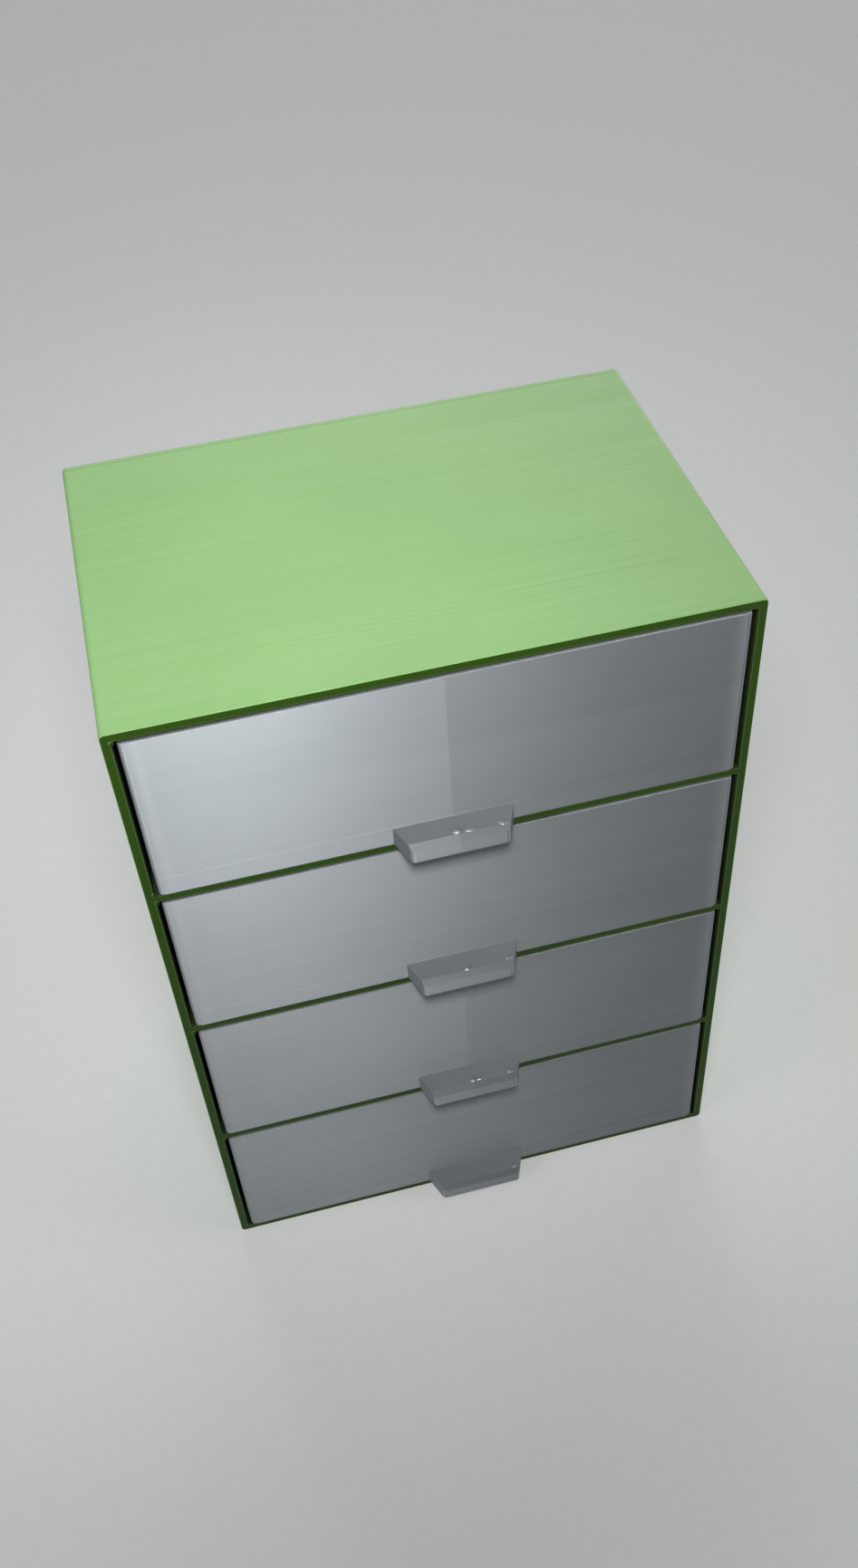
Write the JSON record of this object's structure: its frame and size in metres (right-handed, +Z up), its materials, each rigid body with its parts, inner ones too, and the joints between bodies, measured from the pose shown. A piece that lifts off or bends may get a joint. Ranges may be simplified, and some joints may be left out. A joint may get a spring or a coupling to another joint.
{
  "type": "craft stamp storage drawers",
  "caption": "Small desktop chest: a shelved open-front case and slide-out trays with tapered finger pulls, for keeping craft stamps and small parts.",
  "frame": {"origin": "on the standing surface, in the middle of the whole object, pulls included", "axes": "+Z up, -Y out of the drawer fronts, +X to the right for someone who faces the fronts"},
  "size_m": [0.1, 0.075, 0.1416],
  "materials": {
    "case_plastic": "printed layers, soft satin, sage green",
    "drawer_plastic": "printed layers, satin, silver grey"
  },
  "bodies": {
    "case": {"case": "case_plastic"},
    "drawer_1": {"drawer_1": "drawer_plastic"},
    "drawer_2": {"drawer_2": "drawer_plastic"},
    "drawer_3": {"drawer_3": "drawer_plastic"},
    "drawer_4": {"drawer_4": "drawer_plastic"}
  },
  "joints": [
    {"name": "drawer_1_slide", "type": "slide", "parent": "case", "child": "drawer_1", "axis": [0, -1, 0], "range_m": [0, 0.056]},
    {"name": "drawer_2_slide", "type": "slide", "parent": "case", "child": "drawer_2", "axis": [0, -1, 0], "range_m": [0, 0.056]},
    {"name": "drawer_3_slide", "type": "slide", "parent": "case", "child": "drawer_3", "axis": [0, -1, 0], "range_m": [0, 0.056]},
    {"name": "drawer_4_slide", "type": "slide", "parent": "case", "child": "drawer_4", "axis": [0, -1, 0], "range_m": [0, 0.056]}
  ]
}
